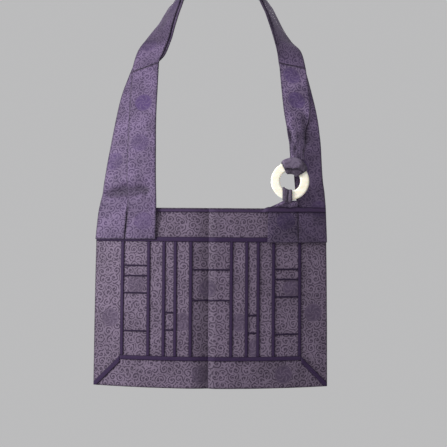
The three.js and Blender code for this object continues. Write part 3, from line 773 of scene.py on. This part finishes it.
# Each figured cloth's ground, strokes, contrast, medallions and mottling. The bright one is the strap's cloth
# made lighter, as painted light on the gathered stretches; the knot's is lighter too, as painted light on its
# roll, and its scroll is fainter.
PANEL_CLOTH, STRAP_CLOTH, LIT_STRAP_CLOTH, LIT_KNOT_CLOTH = (
    figured_cloth("figured_" + name, *looks)
    for name, *looks in (
        ("panel", (0.124, 0.094, 0.138), (0.042, 0.029, 0.051), 1.0, (0.058, 0.040, 0.074), 0.14),
        ("strap", (0.113, 0.081, 0.145), (0.044, 0.028, 0.066), 0.9, (0.056, 0.032, 0.100), 0.24),
        ("painted_light", (0.172, 0.126, 0.216), (0.058, 0.037, 0.090), 0.95, (0.070, 0.040, 0.130), 0.3),
        ("knot", (0.145, 0.115, 0.172), (0.070, 0.050, 0.090), 0.55, (0.062, 0.037, 0.105), 0.2),
    )
)
# The second colour of each is the painted shade along the folded edges, and the stitches' colour.
PLAIN_CLOTH = plain_cloth("plain_bands", (0.028, 0.015, 0.046), (0.012, 0.006, 0.020))
PIPING_CLOTH = plain_cloth("plain_piping", (0.045, 0.027, 0.066), (0.016, 0.009, 0.026))
IVORY = ivory("ivory_ring")

# ---- the panel's pieces ----
SIDES = {"left": slice(None), "right": slice(None, None, -1)}  # the right one is the left one mirrored
CUT_APART = 37.0  # each piece is cut from another part of the cloth
FOLD_STOPS = [CREASE_U + du for du in (-24, -14, -7, -3, -1.2, 0, 0.8, 2, 4.5, 9)]


def panel_piece(node, u, v, cut, area=None, trims=()):
    """A figured piece of the panel over the places u, v. Its argument cut, the size that it shows flat, is
    not used.
    """
    grid = panel_point(u, v)
    shift = CUT_APART * len(bpy.data.meshes)
    uv = stacked(u, -v)
    made = shell(grid, 0, CLOTH, ROUND["cloth"])
    centres = MEDALLIONS.get(node, ())
    # Painted shade on the flank of the panel's stored fold.
    fold_shade_mask = 1 - smooth(np.abs(u - CREASE_U), *FOLD_SHADE[:2])
    # Painted shade towards the bottom border's right end.
    hem_end_shade_mask = smooth(u, *HEM_END_SHADE["across"]) * smooth(v, *HEM_END_SHADE["down"])
    deep = np.minimum(lerp(FULL_TONE, FOLD_SHADE[2], fold_shade_mask), lerp(FULL_TONE, HEM_END_SHADE["tone"], hem_end_shade_mask))
    edge_and_shade = np.minimum(rim_distance(grid), deep)
    piece = add_piece(node + "_cloth", node, made, uv, PANEL_CLOTH, centres, edge_and_shade)
    for corner in piece.data.uv_layers["cloth"].uv:
        corner.vector.x += shift
    return piece


def band(node, grid, along, across, near=TRIM_SEAT, far=TRIM_BASE + TRIM, cloth=PLAIN_CLOTH):
    """A plain band or tape: along and across are its own coordinates over its grid."""
    inward = np.minimum(across - across.min(), across.max() - across)
    crown = CROWN["height"] * np.clip(inward / CROWN["width"], 0, 1)
    uv = stacked(along, inward)
    made = shell(grid, near, far + crown - CROWN["height"], ROUND["trim"])
    return add_piece(node + "_cloth", node, made, uv, cloth)


def straight_band(node, left, right, top, bottom, upright):
    lines = lambda a, b, stops: (stops, FINE) if b - a > NARROW else ((), TRIM_STEP)
    both = ((left, right, FOLD_STOPS), (top, bottom, ()))
    uu, vv = np.meshgrid(*(edged(a, b, ROUND["trim"], *lines(a, b, stops)) for a, b, stops in both))
    along, across = (vv, uu) if upright else (uu, vv)
    return band(node, panel_point(uu, vv), along, across)


def mitre_bands():
    slope = BOTTOM_BORDER / BORDER
    rise = (MITRE_BAND / 2) * math.hypot(1, slope)
    start = UPRIGHTS["a"] - UPRIGHT / 2 - SEAM
    last = HEIGHT - EDGE_INSET
    begin = [(start, HEIGHT - slope * start + dv) for dv in (-rise, 0, rise)]
    end = [(EDGE_INSET, last - rise), (EDGE_INSET, last), (EDGE_INSET + rise / slope, last)]
    reach = math.hypot(start, slope * start)
    t = edged(0, reach, ROUND["trim"])[:, None] / reach
    w = edged(0, MITRE_BAND, ROUND["trim"], step=TRIM_STEP)[None] / MITRE_BAND
    between = lambda places: np.interp(w, (0, 0.5, 1), places)
    u, v = (lerp(between(p), between(q), t) for p, q in zip(zip(*begin), zip(*end)))
    along, across = np.broadcast_arrays(t * reach, w * MITRE_BAND)
    for side, turn in SIDES.items():
        grid = panel_point(u if side == "left" else WIDTH - u, v)[:, turn]
        yield band("band_mitre_" + side, grid, along[:, turn], across[:, turn])


def top_piping():
    """It runs under the left straps and over the right ones, where it is drawn wider upward, with an uneven
    edge, as painted shadow under the gathered straps.
    """
    climb = FLAP_BASE + STRAP + LAYER_GAP - TRIM_BASE
    flap = WIDTH / 2 + RING_END[0]["inner"] - PANEL_X - PIPING["reach"]
    rise = (flap - PIPING["climb"], flap)
    u = edged(EDGE_INSET, WIDTH - EDGE_INSET, ROUND["trim"], [*FOLD_STOPS, *rise])
    v = edged(PIPING["drop"], PIPING["drop"] + PIPING["height"], ROUND["trim"], step=TRIM_STEP)
    uu, vv = np.meshgrid(u, v)
    over = smooth(uu, *rise)
    lift = climb * over
    top = PIPING["drop"] + PIPING["height"] - vv
    place, half, high = PIPING_BUMP
    bump = high * np.exp(-(((uu - place) / half) ** 2))
    waves = sum((share * np.sin(uu / length) for share, length in PIPING_WAVES), PIPING["least"])
    # Over the right flaps the dark band is widened upward as a painted shadow.
    shadow_reach = PIPING["shadow_reach"] * (waves + bump)
    grid = panel_point(uu, vv - over * shadow_reach * top / PIPING["height"])
    far = TRIM_BASE + TRIM + lift
    near = np.where(lift > 0.01, TRIM_BASE + lift, TRIM_SEAT)
    return band("piping_top", grid, uu, vv, near, far, PIPING_CLOTH)


def panel():
    top = TOP_BORDER + TOP_BAND / 2
    low = HEIGHT - BOTTOM_BORDER - BOTTOM_BAND / 2
    reach, half = UPRIGHT / 2, SEAM / 2
    names = list(UPRIGHTS)
    bands = {
        name: straight_band("band_" + name, u - reach, u + reach, top + SEAM, low - SEAM, True)
        for name, u in UPRIGHTS.items()
    }
    bands["top"] = straight_band("band_top", EDGE_INSET, WIDTH - EDGE_INSET, top - TOP_BAND, top, False)
    bands["bottom"] = straight_band(
        "band_bottom", UPRIGHTS["a"] - reach, UPRIGHTS["j"] + reach, low, low + BOTTOM_BAND, False
    )
    bands["mitre_left"], bands["mitre_right"] = mitre_bands()
    bands["piping"] = top_piping()
    lowest = HEIGHT - BOTTOM_BORDER - half
    for k, (node, seams) in enumerate(COLUMNS.items()):
        left, right = UPRIGHTS[names[k]], UPRIGHTS[names[k + 1]]
        free = (left + reach + SEAM, right - reach - SEAM)
        tapes = [
            straight_band(f"{node}_tape_{n + 1}", *free, v - CROSS_TAPE / 2, v + CROSS_TAPE / 2, False)
            for n, v in enumerate(seams)
        ]
        u = edged(left + half, right - half, fixed=FOLD_STOPS)
        v = edged(TOP_BORDER + half, lowest)
        size = (right - left, lowest - TOP_BORDER)
        panel_piece(node, *np.meshgrid(u, v), size, trims=[bands[names[k]], *tapes])
    panel_borders(bands)


def panel_borders(bands):
    half = SEAM / 2
    u = edged(0, WIDTH, fixed=FOLD_STOPS)
    v = edged(0, TOP_BORDER - half)
    trims = [bands["top"], bands["piping"]]
    panel_piece("border_top", *np.meshgrid(u, v), (WIDTH, TOP_BORDER), trims=trims)

    # The bottom border, whose ends are mitred.
    t = edged(0, BOTTOM_BORDER - half)[:, None] / (BOTTOM_BORDER - half)
    v = lerp(HEIGHT - BOTTOM_BORDER + half, HEIGHT, t)
    mitre = lerp(BORDER + half, half, t)
    inner = edged(0, WIDTH, fixed=FOLD_STOPS)[None]
    part = (inner - CREASE_U) / np.where(inner < CREASE_U, CREASE_U, WIDTH - CREASE_U)
    reach = np.where(inner < CREASE_U, CREASE_U - mitre, WIDTH - mitre - CREASE_U)
    leaning = smooth(np.abs(inner - CREASE_U), *STRAIGHT)
    u = lerp(inner + 0 * t, CREASE_U + part * reach, leaning)
    area = (2 * WIDTH - 2 * BORDER) / 2 * BOTTOM_BORDER
    panel_piece("border_bottom", u, v + 0 * u, (WIDTH, BOTTOM_BORDER), area, [bands["bottom"]])

    # The side borders, mitred at their lower ends.
    length = HEIGHT - TOP_BORDER
    inward = edged(0, BORDER - half)[None]
    lowest = HEIGHT - BOTTOM_BORDER * inward / BORDER - SEAM
    t = edged(0, length)[:, None] / length
    v = lerp(TOP_BORDER + half, lowest, t)
    area = BORDER * (length + HEIGHT - TOP_BORDER - BOTTOM_BORDER) / 2
    for side, turn in SIDES.items():
        u = (inward if side == "left" else WIDTH - inward) + 0 * t
        trims = [bands["mitre_" + side], *([bands["j"]] if side == "right" else [])]
        panel_piece("border_" + side, u[:, turn], v[:, turn], (BORDER, length), area, trims)


# ---- the straps ----
# The stretches gathered at the ring, and how far their folds run into one broad fold.
GATHERED = {"strap_upper_right": (RIGHT_UPPER, 0.7), "strap_ring_end": (RING_END, 0.1)}
VALLEY_SHADE = 1.0  # how much deeper than it is a valley between folds counts for its painted shade


def heights_of(rows, step):
    return steps(rows[0]["z"], rows[-1]["z"], step, [PANEL_TOP])


def chest_section(rows, z, t):
    """A strap's points on the chest at height z, for t from 0 at its inner edge to 1 at its outer edge."""
    slant = from_table(rows, "slant", z) / 2
    inner, outer = from_table(rows, "inner", z), from_table(rows, "outer", z)
    return chest_point(lerp(inner, outer, t), z + lerp(slant, -slant, t))


def neck_sections(left_seam, right_seam, slipped):
    """Edges of the strap round the neck, without those of its two seams."""
    rows = [*LEFT_NECK, NAPE, *RIGHT_NECK[::-1]]
    line = [left_seam.mean(axis=0), *(np.array(row[:3], float) for row in rows), right_seam.mean(axis=0)]
    sections = []
    for n, (x, _, _, faces, leans, slip) in enumerate(rows):
        faces, leans = math.radians(faces), math.radians(leans)
        aside = np.sign(x) * math.sin(faces) * math.cos(leans)
        out = np.array([aside, -math.cos(faces) * math.cos(leans), math.sin(leans)])
        across = unit(np.cross(out, unit(line[n + 2] - line[n])))
        ends = (slip * slipped + half for half in (-STRAP_WIDTH / 2, STRAP_WIDTH / 2))
        sections.append(np.array([line[n + 1] + across * end for end in ends]))
    return sections


def strap_grid(left_rows, right_rows, slipped):
    """A whole strap from its left end up, round the neck and down to its right end: its points, where its
    columns and rows lie across it and in height, and the rows of its two neck seams."""
    t = edged(0, STRAP_WIDTH, ROUND["strap"]) / STRAP_WIDTH
    ends = np.array([0.0, 1.0])
    guide_left = [chest_section(left_rows, z, ends) for z in heights_of(left_rows, GUIDE_STEP)]
    guide_right = [chest_section(right_rows, z, ends) for z in heights_of(right_rows, GUIDE_STEP)][::-1]
    neck = neck_sections(guide_left[-1], guide_right[0], slipped)
    near, finer = 3, 8  # guides from each side, and rows to each
    guides = [*guide_left[-near:], *neck, *guide_right[:near]]
    left_z, right_z = heights_of(left_rows, STRAP_STEP), heights_of(right_rows, STRAP_STEP)[::-1]
    rows = [chest_section(left_rows, z, t) for z in left_z]
    seams = [len(rows) - 1]
    for n in range(1, finer * (len(neck) + 1)):
        place = (near - 1 + n // finer, n % finer / finer)
        inner, outer = (curve_point(line, *place) for line in zip(*guides))
        rows.append(inner + (outer - inner) * t[:, None])
    seams.append(len(rows))
    rows += [chest_section(right_rows, z, t) for z in right_z]
    round_z = np.full(seams[1] - seams[0] - 1, left_z[-1])
    return np.array(rows), t, np.concatenate([left_z, round_z, right_z]), seams


def lengthwise(grid):
    """How far each row lies along the middle of a strap."""
    return runs(grid[:, grid.shape[1] // 2])


def end_rows(rows):
    """A strap's rows with finer ones near both ends, where its folded ends round away."""
    on, back = unit(rows[1] - rows[0]), unit(rows[-2] - rows[-1])
    near = [0, *(ROUND["strap"] * part for part in ROUND_STEPS)]
    first, last = [rows[0] + on * d for d in near], [rows[-1] + back * d for d in near[::-1]]
    return np.concatenate([first, rows[1:-1], last])


# The tone of painted shade, by how deep the cloth lies in a crease or valley.
def shade_tone_at(dip, start, full, tone):
    return lerp(FULL_TONE, tone, smooth(dip, start, full))


def strap_piece(node, grid, t, base, rests_on=(), at=None):
    """One piece of a strap: a pressed tube of cloth over its grid, from height base outward."""
    as_ends = lambda rows: rows[[0] * 3 + [*range(len(rows))] + [-1] * 3]
    base, at = as_ends(base), as_ends(normals(grid) if at is None else at)
    grid = end_rows(grid)
    length = lengthwise(grid)
    uv = stacked(t[None] * STRAP_WIDTH, length[:, None])
    made = hollow(grid, base, base + STRAP, at)
    centres = MEDALLIONS.get(node, ())
    # Painted shade over the listed stretches of a strap that lie in shade.
    start, stop, deep = SHADED_STRETCHES.get(node, (0, 0, FULL_TONE))
    fade = SHADE_FADE
    inside = smooth(length, start - fade, start + fade) * smooth(length, stop + fade, stop - fade)
    shade_limit = lerp(FULL_TONE, deep, inside)[:, None]
    # Painted shade in creases and in the valleys between gathered folds.
    dip = 0 if node in NECK_CREASES else -relief(STRAP_CREASES, grid[..., 0], grid[..., 2])
    if node in GATHERED:
        rows, breadth = GATHERED[node]
        fold = heights_in(rows, "fold", grid[:, 0, 2])
        dip = dip + VALLEY_SHADE * fold * (1 - folded(t[None], breadth))
        shade_limit = np.minimum(shade_limit, shade_tone_at(dip, *VALLEY_SHADE_TONE))
    edge_and_shade = np.minimum.reduce(np.broadcast_arrays(rim_distance(grid), shade_limit, shade_tone_at(dip, *CREASE_SHADE)))
    # The gathered stretches take the lighter copy of the strap cloth, as painted light.
    cloth = LIT_STRAP_CLOTH if node in GATHERED else STRAP_CLOTH
    piece = add_piece(node + "_cloth", node, made, uv, cloth, centres, edge_and_shade)
    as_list(rests_on)


def cut_strap(node, strap, start, end, height):
    """A stretch of a strap between two rows: its grid, heights and normals."""
    grid, t, z, _ = strap
    stretch = slice(start, end + 1)
    at = normals(grid)[stretch]
    part = grid[stretch].copy()
    base = height(z[stretch][:, None], t[None])
    if node in NECK_CREASES:
        base = base + relief(NECK_CREASES[node], t[None] * STRAP_WIDTH, lengthwise(part)[:, None])
    else:
        base = base + relief(STRAP_CREASES, part[..., 0], part[..., 2])
    if start > 0:
        part[0] += unit(part[1] - part[0]) * SEAM / 2
    if end < len(grid) - 1:
        part[-1] += unit(part[-2] - part[-1]) * SEAM / 2
    return part, base, at


def heights_in(rows, key, z):
    """A table's value, but not below 0, for each row of a grid at heights z."""
    return np.array([max(0, from_table(rows, key, float(one))) for one in np.ravel(z)])[:, None]


def folded(t, breadth):
    """The section of a gathered stretch: soft uneven folds, the more in one broad fold, the nearer breadth
    is to 1."""
    skewed = t + FOLDS["skew"] * np.sin(TURN * t)
    wave = (1 - np.cos(TURN * FOLDS["count"] * skewed)) / 2
    broad = (1 - np.cos(TURN * t ** FOLDS["broad"])) / 2
    high, count, start, fade = SMALL_FOLDS
    small = high * np.sin(TURN * count * t + start) * smooth(t, 0, fade) * smooth(t, 1, 1 - fade)
    return lerp(wave ** FOLDS["power"], broad, breadth) + small


def pleats(rows, layer, breadth):
    """Height of a stretch gathered at the ring, whose folds run along it."""
    return lambda z, t: (
        flap_lift(z) + layer + heights_in(rows, "lift", z) + heights_in(rows, "fold", z) * folded(t, breadth)
    )


def straps():
    lower = strap_grid(LEFT_LOWER, RIGHT_LOWER, True)
    upper = strap_grid(LEFT_UPPER, RIGHT_UPPER, False)
    climb = lambda z: LAYER * smooth(z, PANEL_TOP - STEP_UP[0], PANEL_TOP - STEP_UP[1])
    low = lambda z, t: flap_lift(z) + 0 * t
    high = lambda z, t: flap_lift(z) + climb(z) + 0 * t
    drawn = pleats(RIGHT_UPPER, LAYER, GATHERED["strap_upper_right"][1])
    for layer, strap, heights, sewn_to in (
        ("lower", lower, (low, low, low), ("border_top_cloth", (), "border_top_cloth")),
        ("upper", upper, (high, high, drawn), [f"strap_lower_{part}_cloth" for part in STRAP_PARTS]),
    ):
        cuts = (0, *strap[3], len(strap[0]) - 1)
        for k, part in enumerate(STRAP_PARTS):
            node = f"strap_{layer}_{part}"
            grid, base, at = cut_strap(node, strap, cuts[k], cuts[k + 1], heights[k])
            strap_piece(node, grid, strap[1], base, sewn_to[k], at)
    fan(lower[1])


def fan(t):
    """The gathered end, from the ring to the panel."""
    z = steps(RING_END[0]["z"], RING_END[-1]["z"], FAN_STEP)[::-1]
    grid = np.array([chest_section(RING_END, one, t) for one in z])
    base = pleats(RING_END, 0, GATHERED["strap_ring_end"][1])(z[:, None], t[None])
    strap_piece("strap_ring_end", grid, t, base, "border_top_cloth")


# ---- the ring and the cloth drawn round it ----
def ring_section(grow, around):
    """Points round the ring's section as (distance from the axis, y), grown by some clearance."""
    inner, outer = RING["inner"] - grow, RING["outer"] + grow
    deep, r = RING["thick"] / 2 + grow, RING["round"]
    x, y, start = np.array(
        [
            (outer - r, r - deep, -90),
            (outer - r, deep - r, 0),
            (inner + r, deep - r, 90),
            (inner + r, r - deep, 180),
        ]
    ).T[..., None]
    angle = np.radians(start + 90 * np.arange(around) / (around - 1))
    return stacked(x + r * np.cos(angle), y + r * np.sin(angle)).reshape(-1, 2)


def about_ring(radius, y, angle):
    """Places at a distance from the ring's axis, at an angle counted up from the right."""
    x = RING["x"] + radius * np.cos(angle)
    z = RING["z"] + radius * np.sin(angle)
    return stacked(x, RING["y"] + y, z)


def closed(grid):
    """The points and quads of a grid whose last row joins its first and whose last column its first."""
    ids = np.arange(grid.shape[0] * grid.shape[1]).reshape(grid.shape[:2])
    side = np.roll(ids, -1, axis=1)
    faces = stacked(side, np.roll(side, -1, axis=0), np.roll(ids, -1, axis=0), ids).reshape(-1, 4)
    return grid.reshape(-1, 3), faces, faces


def ring():
    section = ring_section(0, 8)
    angle = np.linspace(0, TURN, RING_SIDES, endpoint=False)[:, None]
    grid = about_ring(section[None, :, 0], section[None, :, 1], angle)
    add_piece("ring_resin", "ring", closed(grid), np.zeros((*grid.shape[:2], 2)), IVORY)


def on_knot(radius, y, s):
    return about_ring(radius, y, np.radians(lerp(KNOT["start"], KNOT["end"], s)))


def on_loop(radius, y, s):
    """The loop hangs straight down, so its sections are upright."""
    x = lerp(LOOP["start"], LOOP["end"], s)
    reach = np.maximum(radius**2 - (x - RING["x"]) ** 2, (0.7 * radius) ** 2)
    z = RING["z"] - np.sqrt(reach)
    return stacked(x, RING["y"] + y, z)


def wrap(node, cloth, place, length, folds):
    """A sleeve of cloth over a length of the ring: its inside follows the ring, its outside stands in folds.
    s runs from its start to its end, turn round its section from the ring's outer rim by way of the back."""
    around = SECTION_STEPS
    run = edged(0, length, SLEEVE_END, step=SLEEVE_STEP)
    s = (run / length)[:, None]
    ends = np.minimum(run, length - run)[:, None]
    full = np.sqrt(1 - (1 - np.clip(ends / SLEEVE_END, 0, 1)) ** 2)
    round_end = lerp(SLEEVE_LEAST, 1, full)
    turn = (np.arange(around) / around * TURN)[None]
    soft = 1 / np.hypot(np.cos(turn) ** 2, np.sin(turn) ** 2) ** 0.5
    rim = np.interp(s, (0, 0.5, 1), cloth["rim"])
    outward = np.where(np.cos(turn) > 0, rim, cloth["hole"])
    fold, shade = folds(s, turn)
    middle = (RING["inner"] + RING["outer"]) / 2
    across = (RING["outer"] - RING["inner"]) / 2 + (outward + fold) * round_end
    deep = RING["thick"] / 2 + (cloth["face"] + fold) * round_end
    outside = place(middle + across * np.cos(turn) * soft, deep * np.sin(turn) * soft, s)
    section = ring_section(SNUG, around // 4)
    direction = np.arctan2(section[:, 1], section[:, 0] - middle) % TURN
    section = section[np.argsort(direction)]
    inside = place(section[None, :, 0], section[None, :, 1], s)
    grid = np.concatenate([outside, inside[::-1]])
    uv = stacked(np.concatenate([run, run[::-1]])[:, None], turn / TURN * SECTION_LENGTH)
    # Painted shade: the sleeve darkens near its ends, and where its folds say it lies in shade.
    edge_and_shade = np.minimum(ends, lerp(cloth["tone"], 0.3, shade))
    edge_and_shade = np.concatenate([edge_and_shade, edge_and_shade[::-1]])
    # The knot's cloth is a lighter copy, as painted light on its roll.
    piece = add_piece(node + "_cloth", node, closed(grid), uv, LIT_KNOT_CLOTH, (), edge_and_shade)


def ridge(turn, at, width):
    """1 at an angle round the section, in degrees, and 0 away from it."""
    away = (np.degrees(turn) - at + 180) % 360 - 180
    return np.exp(-((away / width) ** 2))


def knot_folds(s, turn):
    """A full roll over the front, a level crease under it, a smaller roll in the ring's hole, and pleats
    drawn to one end. The second number is how deep the cloth lies in shade."""
    under = np.interp(s, (0, 0.5, 1), (290, 245, 250))
    roll = 2.0 * ridge(turn, under + 54, 36)
    crease = ridge(turn, under, 10)
    side = ridge(turn, 352 - 26 * s, 8) * (1 - s)
    drawn = 0.2 * np.cos(TURN * (1.6 * s**1.3 + 0.25 * np.sin(turn))) * (0.3 + 0.7 * s)
    lower = 0.95 * smooth(np.degrees(turn), 150, 180) * smooth(np.degrees(turn), under + 12, under - 4)
    end = 0.9 * smooth(s, 0.4, 0.26)
    return roll - 3.2 * crease - side + drawn, np.clip(crease + lower + 0.4 * side + end, 0, 1)


def loop_folds(s, turn):
    open_side = 1 - 0.85 * ridge(turn, 180, 50)
    pleat = np.exp(-(((s - 0.42 - 0.1 * np.cos(turn)) / 0.07) ** 2))
    # The second number is painted shade in the pleat.
    return (0.35 * np.cos(TURN * 1.4 * s) - 1.2 * pleat) * open_side, 0.8 * pleat


# ---- stage ----
FOCAL_PIXELS = 1602
IMAGE = 447
SENSOR = 36
EYE = (0.003, -2.375, -0.3617)


def stage():
    camera_data = bpy.data.cameras.new("camera")
    camera_data.sensor_width = SENSOR
    camera_data.lens = FOCAL_PIXELS / IMAGE * SENSOR
    camera_data.clip_end = 50
    camera = placed("camera", camera_data)
    camera.location = EYE
    camera.rotation_euler = (math.radians(90), 0, 0)
    bpy.context.scene.camera = camera

    floor_mesh = bpy.data.meshes.new("floor")
    radius, height, sides = 2.4, -1.45, 96
    angles = [TURN * k / sides for k in range(sides)]
    rim = [(radius * math.cos(angle), radius * math.sin(angle), height) for angle in angles]
    floor_mesh.from_pydata(rim, [], [list(range(sides))])
    net = Net("pale_floor")
    place = net.node("TexCoord").outputs["Object"]
    pale = net.mix(net.noise(place, 3.0), (0.86, 0.86, 0.86), (0.9, 0.9, 0.9))
    net.set(Base_Color=pale, Roughness=0.8)
    floor_mesh.materials.append(net.material)
    placed("floor", floor_mesh)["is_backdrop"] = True

    world = bpy.data.worlds.new("studio")
    world.use_nodes = True
    background = world.node_tree.nodes["Background"]
    background.inputs["Color"].default_value = (0.5, 0.5, 0.505, 1)
    background.inputs["Strength"].default_value = 1.0
    bpy.context.scene.world = world
    bpy.context.scene.view_settings.view_transform = "Standard"

    aim = np.array([-0.02, -0.17, -0.36])
    lights = (
        ("key", (-0.9, -0.6, -0.1), 0.4, 12),
        ("side", (-1.6, -1.2, -0.5), 0.45, 13),
        ("top", (-0.2, -0.9, 0.9), 0.6, 9),
        ("back", (0.0, 2.0, 0.0), 1.0, 16),
    )
    for name, place, size, watts in lights:
        data = bpy.data.lights.new(name, "AREA")
        data.size = size
        data.energy = watts
        light = placed(name, data)
        light.location = place
        x, y, z = aim - np.array(place)
        light.rotation_euler = (math.atan2(math.hypot(x, y), -z), 0, math.atan2(y, x) - math.pi / 2)


stage()
panel()
straps()
ring()
wrap("knot", KNOT, on_knot, 29, knot_folds)
wrap("ring_loop", LOOP, on_loop, 13.6, loop_folds)

bpy.context.view_layer.update()
sizes = {"cad": cad_box, "visual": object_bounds()}
{key: [list(map(float, corner)) for corner in box] for key, box in sizes.items()}
